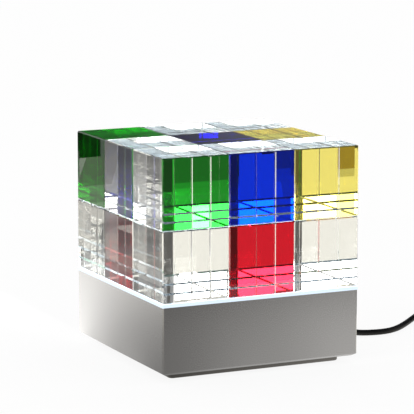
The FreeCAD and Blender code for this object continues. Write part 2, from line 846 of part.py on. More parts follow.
# ------------------------------------------------------------------ strain relief
def make_strain_relief():
    """Moulded bush in the wall: thread and neck inside, flange and tapered sleeve outside."""
    wall = "Sizes.housing_wall"
    inner = f"-({wall} + Sizes.relief_thread_length)"
    flange = "Sizes.relief_flange_thickness"
    tip = f"{flange} + Sizes.relief_sleeve_length"
    outline = [
        (inner, "0"),
        (inner, "Sizes.relief_neck_diameter / 2"),
        ("0", "Sizes.relief_neck_diameter / 2"),
        ("0", "Sizes.relief_flange_diameter / 2"),
        (flange, "Sizes.relief_flange_diameter / 2"),
        (flange, "Sizes.relief_sleeve_diameter / 2"),
        (tip, "Sizes.relief_tip_diameter / 2"),
        (tip, "0"),
    ]
    body = turned("strain_relief", outline, "relief")
    return at(body, f"{SIDE} / 2", "Sizes.exit_offset", "Sizes.exit_height")


def make_relief_nut():
    """Hexagon nut that clamps the strain relief from inside."""
    body = new_body("strain_relief_nut")
    sketch = new_sketch(body, "nut_outline", role="YZ_Plane")
    ring = "Sizes.nut_across_flats / (2 * cos(30 deg))"
    corners = [(f"{ring} * cos({60 * i} deg)", f"{ring} * sin({60 * i} deg)") for i in range(6)]
    add_polyline(sketch, corners)
    add_circle(sketch, "(Sizes.relief_neck_diameter + 2 * Sizes.thread_clearance)")
    pad(body, sketch, "Sizes.nut_thickness", down=True)
    x = f"{SIDE} / 2 - Sizes.housing_wall"
    return at(body, x, "Sizes.exit_offset", "Sizes.exit_height")


# ------------------------------------------------------------------ cord, coil and plug
class Coil:
    """The put-away coil: where it lies and which way it is wound, worked out from the cord's route."""

    def __init__(self, route):
        self.diameter = size("cord_diameter")
        self.pitch = self.diameter + size("coil_turn_gap")
        self.radius = size("coil_outer_radius")
        self.along = (route[-1] - route[-2]).normalize()
        self.start = route[-1] + self.along * self.diameter
        self.side = Vector(-self.along.y, self.along.x, 0)
        self.centre = self.start - self.side * self.radius
        self.points = [route[-1]]
        self.edges = [Part.LineSegment(route[-1], self.start).toShape()]

    def junction(self, index, radius, level):
        """Where half turns meet: on either side of the centre in turn."""
        way = 1 if index % 2 == 0 else -1
        return self.centre + self.side * (way * radius) + Vector(0, 0, level * self.pitch)

    def wind(self):
        """Each layer spirals in or out, and the half turn that reverses it climbs to the next."""
        here, index, radius = self.start, 0, self.radius
        for layer in range(COIL_LAYERS):
            inward = layer % 2 == 0
            for _ in range(COIL_HALF_TURNS):
                radius += (-0.5 if inward else 0.5) * self.pitch
                here, index = self.flat_turn(here, index, radius, layer)
            if layer < COIL_LAYERS - 1:
                here, index = self.climbing_turn(here, index, radius, layer)
        leaving = self.along * (1 if index % 2 == 0 else -1)
        self.finish = here + leaving * self.diameter
        self.leaving = leaving
        self.edges.append(Part.LineSegment(here, self.finish).toShape())

    def flat_turn(self, here, index, radius, layer):
        there = self.junction(index + 1, radius, layer)
        bulge = self.along * ((here - there).Length / 2 * (1 if index % 2 == 0 else -1))
        self.edges.append(Part.Arc(here, (here + there) / 2 + bulge, there).toShape())
        return there, index + 1

    def climbing_turn(self, here, index, radius, layer):
        """Two quarter turns, each flat in its own tilted plane."""
        there = self.junction(index + 1, radius, layer + 1)
        forward = self.along * (1 if index % 2 == 0 else -1)
        across = (there - here).normalize()
        reach = (there - here).Length / 2
        half = math.sqrt(0.5)
        top = here + (forward + across) * reach
        rising = here + forward * (half * reach) + across * ((1 - half) * reach)
        falling = there + forward * (half * reach) - across * ((1 - half) * reach)
        self.edges.append(Part.Arc(here, rising, top).toShape())
        self.edges.append(Part.Arc(top, falling, there).toShape())
        return there, index + 1

    def least_gap(self):
        """Smallest clear distance between turns, measured on points along the middle line."""
        spots = []
        for edge in self.edges:
            count = max(2, round(edge.Length / (self.diameter / 4)))
            spots += edge.discretize(Number=count)[:-1]
        travelled = [0.0]
        for a, b in zip(spots, spots[1:]):
            travelled.append(travelled[-1] + (b - a).Length)
        apart = 3 * self.diameter
        least = min(
            (spots[i] - spots[j]).Length
            for i in range(len(spots))
            for j in range(i)
            if travelled[i] - travelled[j] > apart
            and abs(spots[i].x - spots[j].x) < apart
            and abs(spots[i].y - spots[j].y) < apart
        )
        return least - self.diameter

    def solid(self):
        wire = Part.Wire(self.edges)
        profile = facet_profile(wire.Edges[0].Vertexes[0].Point, self.along, self.diameter)
        shape = swept(wire, profile)
        section = COIL_FACETS / 2 * math.sin(2 * math.pi / COIL_FACETS) * self.diameter**2 / 4
        share = shape.Volume / (wire.Length * section)
        print(
            f"cord_coil: {wire.Length:.1f} mm wound, volume {share:.4f} of section x length, "
            f"least gap {self.least_gap():.2f} mm"
        )
        return shape, wire.Length


def make_coil_tie(coil):
    """Strap round the bundle of turns, on the side where the outer climb is."""
    thick, wide = size("tie_thickness"), size("tie_width")
    side_room, face_room = size("tie_side_clearance"), size("tie_face_clearance")
    half = coil.diameter / 2
    last_crossing = COIL_HALF_TURNS - 0.5  # in half turns: the innermost pass of a layer under the strap
    innermost = coil.radius - last_crossing / 2 * coil.pitch
    inner = innermost - half - side_room
    outer = coil.radius + half + side_room
    low = coil.start.z - half - face_room
    high = coil.start.z + (COIL_LAYERS - 1) * coil.pitch + half + face_room
    corner = size("tie_corner_radius")

    def ring(grow):
        box = Part.makeBox(
            outer - inner + 2 * grow, wide, high - low + 2 * grow, Vector(inner - grow, -wide / 2, low - grow)
        )
        uprights = [edge for edge in box.Edges if edge.BoundBox.YLength > NEARLY]
        return box.makeFillet(corner + grow, uprights)

    strap = ring(thick).cut(ring(0))
    away = -coil.along
    turn = math.degrees(math.atan2(away.y, away.x))
    tie = shaped("coil_tie", strap)
    middle = Vector(coil.centre.x, coil.centre.y, 0)
    tie.Placement = FreeCAD.Placement(middle, FreeCAD.Rotation(Vector(0, 0, 1), turn))
    return tie


def plug_pieces(spot, heading):
    """Round low-voltage plug lying on the table: grip, barrel and the tube inside it."""
    length = "Sizes.grip_length"
    full, tail = "Sizes.grip_diameter / 2", "Sizes.grip_tail_diameter / 2"
    cut = "Sizes.grip_end_bevel"
    outline = [("0", "0"), ("0", tail), ("Sizes.grip_tail_length", full)]
    for i in range(GRIP_GROOVES):
        start = f"Sizes.grip_tail_length + {i + 1} * Sizes.grip_groove_pitch - Sizes.grip_groove_width"
        end = f"{start} + Sizes.grip_groove_width"
        deep = f"{full} - Sizes.grip_groove_depth"
        outline += [(start, full), (start, deep), (end, deep), (end, full)]
    outline += [(f"{length} - {cut}", full), (length, f"{full} - {cut}"), (length, "0")]
    grip = turned("plug_grip", outline, "grip")

    barrel_end = f"{length} + Sizes.barrel_length"
    radius, bore = "Sizes.barrel_diameter / 2", "Sizes.barrel_bore / 2"
    pipe = [(length, bore), (length, radius), (barrel_end, radius), (barrel_end, bore)]
    barrel = turned("plug_barrel", pipe, "barrel")
    inside = "Sizes.barrel_tube_diameter / 2"
    lining = [(length, inside), (length, bore), (barrel_end, bore), (barrel_end, inside)]
    contact = turned("plug_insulator", lining, "insulator")

    turn = math.degrees(math.atan2(heading.y, heading.x))
    for piece in (grip, barrel, contact):
        piece.Placement = FreeCAD.Placement(spot, FreeCAD.Rotation(Vector(0, 0, 1), turn))
    return [grip, barrel, contact]


def make_cord():
    route = [Vector(*point) for point in CORD_ROUTE]
    cord, cord_length = make_tube("power_cord", route, size("cord_diameter"))
    coil = Coil(route)
    coil.wind()
    wound, wound_length = coil.solid()
    aside = Vector(-coil.leaving.y, coil.leaving.x, 0)
    ground = Vector(coil.finish.x, coil.finish.y, 0)
    plug_route = [
        ground + coil.leaving * ahead + aside * sideways + Vector(0, 0, height)
        for ahead, sideways, height in PLUG_ROUTE
    ]
    tail, tail_length = make_tube("plug_cord_end", plug_route, size("cord_diameter"))
    heading = (plug_route[-1] - plug_route[-2]).normalize()
    total = cord_length + wound_length + tail_length
    print(f"cord: {total:.0f} mm in all, coil centre {coil.centre}, coil ends at {coil.finish}")
    return [
        cord,
        shaped("power_cord_coil", wound),
        make_coil_tie(coil),
        tail,
        *plug_pieces(plug_route[-1], heading),
    ]


# ------------------------------------------------------------------ assembly
def make_screws():
    post_spots = [(f"{x} * {POST_OFFSET}", f"{y} * {POST_OFFSET}") for x, y in CORNERS]
    board_spots = [(f"{x} * {LED_SCREW_OFFSET}", f"{y} * {LED_SCREW_OFFSET}") for x, y in CORNERS]
    small = ("Sizes.small_head_diameter", "Sizes.small_head_height", "Sizes.small_screw_diameter")
    return [
        make_sunk_screws(),
        make_pan_screws(
            "spreader_screws",
            post_spots,
            SPREADER_TOP,
            "Sizes.pan_head_diameter",
            "Sizes.pan_head_height",
            "Sizes.screw_diameter",
            "Sizes.spreader_thickness + Sizes.pan_screw_grip",
        ),
        make_pan_screws(
            "led_board_screws",
            board_spots,
            LED_BOARD_TOP,
            *small,
            "Sizes.led_board_thickness + Sizes.small_screw_grip",
        ),
        make_pan_screws(
            "driver_board_screws",
            driver_corners(),
            DRIVER_TOP,
            *small,
            "Sizes.driver_thickness + Sizes.small_screw_grip",
        ),
    ]


def make_lamp():
    return [
        *make_glass(),
        make_opal_plate(),
        make_housing(),
        make_bottom_cover(),
        make_foot_plate(),
        make_rubber_pads(),
        make_heat_spreader(),
        make_led_board(),
        make_led_chips(),
        make_light_box(),
        make_standoffs(),
        make_driver_board(),
        *make_driver_parts(),
        *make_screws(),
        make_inner_lead(),
        make_led_wires(),
        make_strain_relief(),
        make_relief_nut(),
        *make_cord(),
    ]


nodes = make_lamp()
doc.recompute()
for thing in doc.Objects:
    if {"Invalid", "Error"} & set(thing.State):
        raise RuntimeError(f"{thing.Label} failed: {thing.State}")
for node in nodes:
    if node.Shape.isNull() or not node.Shape.isValid():
        raise RuntimeError(f"{node.Label} has no valid shape")
    node.Shape.exportStep(f"parts/{node.Label}.step")
print(f"{len(nodes)} nodes written")
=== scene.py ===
"""Looks of the cube table lamp: ground glass cubes on a lit opal plate and a satin aluminium base.

Metres, +Z up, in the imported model's own frame: +X along the front face to the right, +Y to the back.
"""

import math

import bmesh
import bpy
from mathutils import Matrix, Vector
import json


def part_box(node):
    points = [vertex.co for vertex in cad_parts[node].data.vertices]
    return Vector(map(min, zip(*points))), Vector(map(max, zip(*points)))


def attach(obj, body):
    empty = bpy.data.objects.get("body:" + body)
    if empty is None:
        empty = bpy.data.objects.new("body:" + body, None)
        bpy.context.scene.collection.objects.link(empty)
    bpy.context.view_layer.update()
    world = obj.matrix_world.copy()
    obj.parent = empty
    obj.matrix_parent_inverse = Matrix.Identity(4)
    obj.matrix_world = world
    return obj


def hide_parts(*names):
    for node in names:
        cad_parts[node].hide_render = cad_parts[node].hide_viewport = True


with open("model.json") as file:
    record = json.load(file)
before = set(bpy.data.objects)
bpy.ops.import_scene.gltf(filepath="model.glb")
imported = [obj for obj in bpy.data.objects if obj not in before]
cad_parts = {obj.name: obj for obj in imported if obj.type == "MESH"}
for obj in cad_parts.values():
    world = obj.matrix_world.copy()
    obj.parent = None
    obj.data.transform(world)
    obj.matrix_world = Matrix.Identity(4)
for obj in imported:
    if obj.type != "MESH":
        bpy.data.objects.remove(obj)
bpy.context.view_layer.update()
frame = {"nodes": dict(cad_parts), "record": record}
scene = bpy.context.scene
NODES = frame["nodes"]
MM = 0.001

# ------------------------------------------------------------------ camera
CAMERA_SPOT = (-0.60597, -1.2750, 0.32594)
CAMERA_YAW = math.radians(25.23)  # from +Y towards +X
CAMERA_DIP = math.radians(9.72)
LENS_MM = 218.64
SENSOR_MM = 36


def make_camera():
    camera = bpy.data.objects.new("camera", bpy.data.cameras.new("camera"))
    scene.collection.objects.link(camera)
    camera.data.sensor_width = SENSOR_MM
    camera.data.lens = LENS_MM
    camera.location = CAMERA_SPOT
    ahead = Vector((
        math.sin(CAMERA_YAW) * math.cos(CAMERA_DIP),
        math.cos(CAMERA_YAW) * math.cos(CAMERA_DIP),
        -math.sin(CAMERA_DIP),
    ))
    camera.rotation_euler = ahead.to_track_quat("-Z", "Y").to_euler()
    scene.camera = camera


make_camera()

# ------------------------------------------------------------------ cord
CORD_DIAMETER = 0.0035
COIL_RADIUS = 0.0264
COIL_PITCH = 0.0044
COIL_LAYERS = 4
COIL_HALF_TURNS = 6  # in one layer, besides the half turn that climbs to the next
HALF_TURN_POINTS = 8
# Middle line from the strain relief to the coil, the same points as the solid tube's.
CORD_ROUTE = [
    (0.0695, 0.0000, 0.00950),
    (0.0760, 0.0000, 0.00950),
    (0.0830, -0.0001, 0.00690),
    (0.0895, -0.0004, 0.00275),
    (0.0970, -0.00125, 0.00175),
    (0.1095, -0.0033, 0.00175),
    (0.1195, 0.0006, 0.00175),
    (0.1300, 0.0092, 0.00175),
    (0.1410, 0.0199, 0.00175),
    (0.1515, 0.0290, 0.00245),
    (0.1590, 0.03486, 0.00245),
]
# Middle line from the coil to the plug: along the coil's last heading, aside from it, and height.
PLUG_ROUTE = [
    (0.0000, 0.0000, 0.01565),
    (0.0085, 0.0000, 0.01565),
    (0.0195, -0.0004, 0.01130),
    (0.0305, -0.0015, 0.00540),
    (0.0405, -0.0033, 0.00375),
    (0.0485, -0.0054, 0.00375),
]


def spiral_points(start, along):
    """Control points of the coil's turns, its end and the way it leaves."""
    side = Vector((-along.y, along.x, 0))
    centre = start - side * COIL_RADIUS
    step = math.pi / HALF_TURN_POINTS
    swell = 1 / math.cos(step / 2)  # a control point stands outside its curve
    points = []
    index = 0
    radius = COIL_RADIUS
    level = 0.0
    for layer in range(COIL_LAYERS):
        inward = layer % 2 == 0
        turns = COIL_HALF_TURNS + (layer < COIL_LAYERS - 1)
        for turn in range(turns):
            climbing = turn == COIL_HALF_TURNS
            change = 0 if climbing else (-0.5 if inward else 0.5) * COIL_PITCH
            rise = COIL_PITCH if climbing else 0
            for i in range(HALF_TURN_POINTS):
                share = (i + 0.5) / HALF_TURN_POINTS
                angle = math.pi * (index + share)
                reach = (radius + change * share) * swell
                spot = centre + side * (reach * math.cos(angle)) + along * (reach * math.sin(angle))
                points.append(spot + Vector((0, 0, level + rise * share)))
            index += 1
            radius += change
            level += rise
    way = 1 if index % 2 == 0 else -1
    finish = centre + side * (way * radius) + Vector((0, 0, level))
    return points, finish, along * way


def cord_points():
    """Control points of the whole cord: its free stretch, the coil and the end with the plug."""
    route = [Vector(point) for point in CORD_ROUTE]
    along = (route[-1] - route[-2]).normalized()
    start = route[-1] + along * CORD_DIAMETER
    turns, finish, leaving = spiral_points(start, along)
    aside = Vector((-leaving.y, leaving.x, 0))
    ground = Vector((finish.x, finish.y, 0)) + leaving * CORD_DIAMETER
    tail = [
        ground + leaving * ahead + aside * sideways + Vector((0, 0, height))
        for ahead, sideways, height in PLUG_ROUTE
    ]
    return route + turns + tail


def make_cord():
    curve = bpy.data.curves.new("power_lead", "CURVE")
    curve.dimensions = "3D"
    spline = curve.splines.new("NURBS")
    points = cord_points()
    spline.points.add(len(points) - 1)
    for target, point in zip(spline.points, points):
        target.co = (*point, 1)
        target.radius = CORD_DIAMETER / 2
    spline.order_u = 3
    spline.use_endpoint_u = True
    spline.resolution_u = 3
    curve.bevel_depth = 1  # times each point's radius
    curve.bevel_resolution = 4
    curve.use_fill_caps = True
    cord = bpy.data.objects.new("power_lead", curve)
    scene.collection.objects.link(cord)
    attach(cord, "root")
    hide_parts("power_cord", "power_cord_coil", "plug_cord_end")
    return cord


# ------------------------------------------------------------------ numbers of the materials
WHITE = (1, 1, 1)

# Streaks, waves, clouds, drift and grain are scales of noise; a bump is a strength and a depth.
GLASS_IOR = 1.54
GLASS_STREAKS = (90, 90, 25)
GLASS_STREAK_TONE = (0.985, 0.985, 0.985)
GLASS_WAVES = 60
GLASS_BUMP = (0.3, 0.000004)
CUBE_PATH = 0.042  # what a ray from the camera travels through one cube from front to back

OPAL_BODY = (0.22, 0.24, 0.26)
OPAL_ROUGHNESS = 0.35
OPAL_CLOUDS = 25
OPAL_GLOW_DEEP = (0.66, 0.82, 1.0)
OPAL_GLOW_PALE = (0.74, 0.88, 1.0)
OPAL_FACE_GLOW = 2.6
OPAL_EDGE_GLOW = 0.85

METAL_DRIFT = 14
METAL_GRAIN = (2500, 2500, 2500)
METAL_BUMP = (0.25, 0.000004)

MOULDED_DRIFT = 30
MOULDED_GRAIN = 2500
MOULDED_BUMP = (0.3, 0.00003)
WEAVE_GRAIN = 5000
PLAIN_GLOSS = 0.5
CORD_GLOSS = 0.25


# ------------------------------------------------------------------ materials
def new_material(name):
    """A material and its node tree, with its Principled shader."""
    material = bpy.data.materials.new(name)
    material.use_nodes = True
    tree = material.node_tree
    return material, tree, tree.nodes["Principled BSDF"]


def add_node(tree, kind, links=(), **values):
    """A shader node with plain values set on its sockets and links from other nodes' sockets."""
    node = tree.nodes.new(kind)
    for key, value in values.items():
        if key in node.inputs:
            node.inputs[key].default_value = value
        else:
            setattr(node, key, value)
    for socket, source in dict(links).items():
        tree.links.new(source, node.inputs[socket])
    return node


def place_of(tree):
    return add_node(tree, "ShaderNodeTexCoord").outputs["Object"]


def stretched(tree, scale):
    """Object coordinates, scaled along each axis."""
    return add_node(tree, "ShaderNodeMapping", {"Vector": place_of(tree)}, Scale=scale).outputs["Vector"]


def noise(tree, scale, detail=2.0, roughness=0.5, vector=None):
    links = {"Vector": vector or place_of(tree)}
    node = add_node(tree, "ShaderNodeTexNoise", links, Scale=scale, Detail=detail, Roughness=roughness)
    return node.outputs["Fac"]


def between(tree, source, low, high, low_in=0.0, high_in=1.0):
    """Maps a value to a range."""
    node = add_node(tree, "ShaderNodeMapRange", {"Value": source})
    for key, value in zip(("From Min", "From Max", "To Min", "To Max"), (low_in, high_in, low, high)):
        node.inputs[key].default_value = value
    return node.outputs["Result"]


def shade_between(tree, source, first, second):
    """A colour that goes from one to another as the source goes from 0 to 1."""
    ramp = add_node(tree, "ShaderNodeValToRGB", {"Fac": source})
    ramp.color_ramp.elements[0].color = (*first, 1)
    ramp.color_ramp.elements[1].color = (*second, 1)
    return ramp.outputs["Color"]


def bump(tree, shader, height, strength, distance):
    node = add_node(tree, "ShaderNodeBump", {"Height": height}, Strength=strength, Distance=distance)
    tree.links.new(node.outputs["Normal"], shader.inputs["Normal"])


def satin_metal(name, dark, light, roughness):
    """Blasted and anodised metal: a fine grain and a slow drift of tone."""
    material, tree, shader = new_material(name)
    shader.inputs["Metallic"].default_value = 1
    drift = noise(tree, METAL_DRIFT, 3)
    tree.links.new(shade_between(tree, drift, dark, light), shader.inputs["Base Color"])
    fine = noise(tree, 1, 3, 0.6, stretched(tree, METAL_GRAIN))
    tree.links.new(between(tree, fine, *roughness), shader.inputs["Roughness"])
    bump(tree, shader, fine, *METAL_BUMP)
    return material


def moulded(name, dark, light, roughness, grain=MOULDED_GRAIN, gloss=PLAIN_GLOSS):
    """Moulded plastic, rubber or fabric with a fine texture."""
    material, tree, shader = new_material(name)
    drift = noise(tree, MOULDED_DRIFT, 3)
    tree.links.new(shade_between(tree, drift, dark, light), shader.inputs["Base Color"])
    fine = noise(tree, grain, 2)
    tree.links.new(between(tree, fine, *roughness), shader.inputs["Roughness"])
    bump(tree, shader, fine, *MOULDED_BUMP)
    shader.inputs["Specular IOR Level"].default_value = gloss
    return material


def ground_glass(name, passed):
    """Solid glass that passes the given share of red, green and blue over one cube."""
    material, tree, shader = new_material(name)
    streaks = noise(tree, 1, 3, 0.6, stretched(tree, GLASS_STREAKS))
    tone = shade_between(tree, streaks, GLASS_STREAK_TONE, WHITE)
    tree.links.new(tone, shader.inputs["Base Color"])
    bump(tree, shader, noise(tree, GLASS_WAVES, 1), *GLASS_BUMP)
    shader.inputs["Transmission Weight"].default_value = 1
    shader.inputs["IOR"].default_value = GLASS_IOR
    shader.inputs["Roughness"].default_value = 0
    taken = [-math.log(share) / CUBE_PATH for share in passed]
    density = max(taken)
    colour = [1 - part / density for part in taken]
    volume = add_node(tree, "ShaderNodeVolumeAbsorption", Color=(*colour, 1), Density=density)
    tree.links.new(volume.outputs["Volume"], tree.nodes["Material Output"].inputs["Volume"])
    return material


def lit_opal(name):
    """Opal plate lit from below: its upper face glows more than its edges."""
    material, tree, shader = new_material(name)
    shader.inputs["Roughness"].default_value = OPAL_ROUGHNESS
    shader.inputs["Base Color"].default_value = (*OPAL_BODY, 1)
    normal = add_node(tree, "ShaderNodeNewGeometry").outputs["Normal"]
    upward = add_node(tree, "ShaderNodeSeparateXYZ", {"Vector": normal}).outputs["Z"]
    clouds = noise(tree, OPAL_CLOUDS, 2)
    shade = shade_between(tree, clouds, OPAL_GLOW_DEEP, OPAL_GLOW_PALE)
    tree.links.new(shade, shader.inputs["Emission Color"])
    glow = between(tree, upward, OPAL_EDGE_GLOW, OPAL_FACE_GLOW)
    tree.links.new(glow, shader.inputs["Emission Strength"])
    return material


# What makes each slot's material, and its looks: the share of red, green and blue that a glass passes,
# or else the darker tone, the lighter tone and the range of roughness.
MATERIALS = {
    "clear_glass": (ground_glass, (0.99, 0.99, 0.975)),
    "green_glass": (ground_glass, (0.012, 0.42, 0.022)),
    "blue_glass": (ground_glass, (0.0005, 0.028, 0.78)),
    "yellow_glass": (ground_glass, (0.98, 0.87, 0.22)),
    "red_glass": (ground_glass, (0.69, 0.010, 0.025)),
    "opal_acrylic": (lit_opal,),
    "satin_aluminium": (satin_metal, (0.40, 0.39, 0.375), (0.44, 0.43, 0.415), (0.24, 0.30)),
    "foot_metal": (satin_metal, (0.15, 0.14, 0.13), (0.19, 0.18, 0.165), (0.28, 0.36)),
    "screw_steel": (satin_metal, (0.50, 0.49, 0.47), (0.62, 0.61, 0.60), (0.20, 0.35)),
    "black_rubber": (moulded, (0.012, 0.012, 0.013), (0.022, 0.022, 0.023), (0.55, 0.75)),
    "white_board": (moulded, (0.78, 0.78, 0.75), (0.86, 0.86, 0.84), (0.30, 0.45)),
    "led_resin": (moulded, (0.85, 0.66, 0.18), (0.95, 0.80, 0.32), (0.20, 0.35)),
    "white_plastic": (moulded, (0.82, 0.82, 0.81), (0.88, 0.88, 0.87), (0.40, 0.55)),
    "brass": (satin_metal, (0.62, 0.44, 0.18), (0.75, 0.56, 0.26), (0.22, 0.36)),
    "green_board": (moulded, (0.012, 0.10, 0.035), (0.02, 0.15, 0.05), (0.25, 0.40)),
    "screening_can": (satin_metal, (0.55, 0.55, 0.54), (0.68, 0.68, 0.67), (0.25, 0.40)),
    "black_plastic": (moulded, (0.010, 0.010, 0.011), (0.020, 0.020, 0.021), (0.38, 0.55)),
    "terminal_green": (moulded, (0.02, 0.22, 0.09), (0.03, 0.30, 0.12), (0.30, 0.45)),
    "wire_red": (moulded, (0.45, 0.012, 0.012), (0.60, 0.02, 0.02), (0.30, 0.45)),
    "cord_jacket": (
        moulded, (0.003, 0.003, 0.003), (0.006, 0.006, 0.006), (0.50, 0.62), MOULDED_GRAIN, CORD_GLOSS
    ),
    "black_fabric": (moulded, (0.010, 0.010, 0.011), (0.030, 0.030, 0.031), (0.75, 0.95), WEAVE_GRAIN),
    "plug_nickel": (satin_metal, (0.62, 0.60, 0.56), (0.75, 0.73, 0.70), (0.12, 0.22)),
}


def make_materials():
    return {name: make(name, *looks) for name, (make, *looks) in MATERIALS.items()}


def dress_frame(materials):
    """Gives each CAD node the material of its slot."""
    for part in frame["record"]["subparts"]:
        mesh = NODES[part["node"]].data
        mesh.materials.clear()
        mesh.materials.append(materials[part["material_slot"]])


# ------------------------------------------------------------------ glass cubes
AIR_GAP = 0.05 * MM  # on each side of a cube
CUBE_BEVEL = 0.6 * MM


def make_glass_cube(node, material):
    """A cube of solid glass inside its CAD node, with ground bevels and hairline gaps round it."""
    low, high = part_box(node)
    middle = (low + high) / 2
    half = (high - low) / 2 - Vector((AIR_GAP,) * 3)
    mesh = bpy.data.meshes.new(f"{node}_glass")
    shape = bmesh.new()
    bmesh.ops.create_cube(shape, size=1)
    for vertex in shape.verts:
        vertex.co = middle + Vector(2 * place * reach for place, reach in zip(vertex.co, half))
    bmesh.ops.bevel(
        shape, geom=shape.edges[:], offset=CUBE_BEVEL, segments=1, profile=0.5, affect="EDGES"
    )
    shape.to_mesh(mesh)
    shape.free()
    mesh.materials.append(material)
    cube = bpy.data.objects.new(f"{node}_glass", mesh)
    scene.collection.objects.link(cube)
    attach(cube, "root")
    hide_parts(node)
    return cube


def make_glass(materials):
    for node in sorted(NODES):
        if "_cube_" in node:
            slot = node.split("_")[0] + "_glass"
            make_glass_cube(node, materials[slot])


# ------------------------------------------------------------------ table and world
ROOM = 3.0  # from the lamp to each side of the table
TABLE_TONE = (0.95, 0.95, 0.95)
TABLE_ROUGHNESS = 0.7
TABLE_WHITE_SHARE = 0.9  # of what the camera sees; the rest is the lit table with the lamp's shadow
TABLE_IN_GLASS = (1, 0.98, 0.915)
TABLE_IN_GLASS_GLOW = 1.18
OVERHEAD_TONE = (0.07, 0.095, 0.13)
OVERHEAD_START = 0.35  # the upward part of the direction in which the white begins to dim
OVERHEAD_END = 0.65
# Sockets of the Mix node by number, as they are for colours.
MIX_FACTOR = 0
MIX_FIRST = 6
MIX_SECOND = 7
MIX_RESULT = 2


def stage_plane(name, corners, material):
    mesh = bpy.data.meshes.new(name)
    mesh.from_pydata(corners, [], [tuple(range(len(corners)))])
    mesh.materials.append(material)
    plane = bpy.data.objects.new(name, mesh)
    scene.collection.objects.link(plane)
    return plane


def ray_kinds(tree):
    """Whether a ray comes from the camera, and whether it comes through or off glass and metal."""
    path = add_node(tree, "ShaderNodeLightPath").outputs
    links = {0: path["Is Glossy Ray"], 1: path["Is Transmission Ray"]}
    mirrored = add_node(tree, "ShaderNodeMath", links, operation="MAXIMUM").outputs[0]
    return path["Is Camera Ray"], mirrored


def emission(tree, colour, strength=1.0):
    return add_node(tree, "ShaderNodeEmission", Color=(*colour, 1), Strength=strength).outputs[0]


def mixed(tree, share, first, second):
    """A shader that goes from the first to the second as the share goes from 0 to 1."""
    return add_node(tree, "ShaderNodeMixShader", {0: share, 1: first, 2: second}).outputs[0]


def cover(tree, shader):
    """Makes a shader the material's surface."""
    tree.links.new(shader, tree.nodes["Material Output"].inputs["Surface"])


def make_table():
    """Pale table: white for the camera and beige in glass and metal, with the object's shadow kept."""
    material, tree, shader = new_material("pale_table")
    shader.inputs["Base Color"].default_value = (*TABLE_TONE, 1)
    shader.inputs["Roughness"].default_value = TABLE_ROUGHNESS
    from_camera, mirrored = ray_kinds(tree)
    share = between(tree, from_camera, 0.0, TABLE_WHITE_SHARE)
    plain = mixed(tree, share, shader.outputs[0], emission(tree, WHITE))
    in_glass = emission(tree, TABLE_IN_GLASS, TABLE_IN_GLASS_GLOW)
    cover(tree, mixed(tree, mirrored, plain, in_glass))
    corners = [(-ROOM, -ROOM, 0), (ROOM, -ROOM, 0), (ROOM, ROOM, 0), (-ROOM, ROOM, 0)]
    stage_plane("table", corners, material)


def make_world():
    """Even light on the object; metal and glass see it white at the sides and dim overhead."""
    world = bpy.data.worlds.new("studio")
    scene.world = world
    world.use_nodes = True
    tree = world.node_tree
    mirrored = ray_kinds(tree)[1]
    heading = add_node(tree, "ShaderNodeTexCoord").outputs["Generated"]
    upward = add_node(tree, "ShaderNodeSeparateXYZ", {"Vector": heading}).outputs["Z"]
    overhead = between(tree, upward, 0.0, 1.0, OVERHEAD_START, OVERHEAD_END)
    shade = shade_between(tree, overhead, WHITE, OVERHEAD_TONE)
    colour = add_node(tree, "ShaderNodeMix", {MIX_FACTOR: mirrored, MIX_SECOND: shade}, data_type="RGBA")
    colour.inputs[MIX_FIRST].default_value = (*WHITE, 1)
    tree.links.new(colour.outputs[MIX_RESULT], tree.nodes["Background"].inputs["Color"])


# ------------------------------------------------------------------ studio cards
UP = (0, 0, 1)
RIGHT = (1, 0, 0)
BACK = (0, 1, 0)
VIEW_SIDE = 0.4263  # sine of CAMERA_YAW: how far the camera looks to +X, seen from above
VIEW_DEPTH = 0.9046  # its cosine: how far the camera looks to +Y

CARD_LIFT = 0.0004  # of the cards that lie on the table
GRADED_LIFT = 0.0006
TABLE_END = 0.72
SHORT_OF_END = 0.719
FRONT_CARD_Y = -0.36
PANEL_LOW = 0.12
PANEL_DIMS = 0.24  # height from which the panel's light changes
PANEL_HIGH = 0.36
DARK_CORNER = (0.12, 0.117, 0.113)
DARK_CORNER_HIGH = 0.075  # the grey band begins there
GREY_BAND_HIGH = 0.17
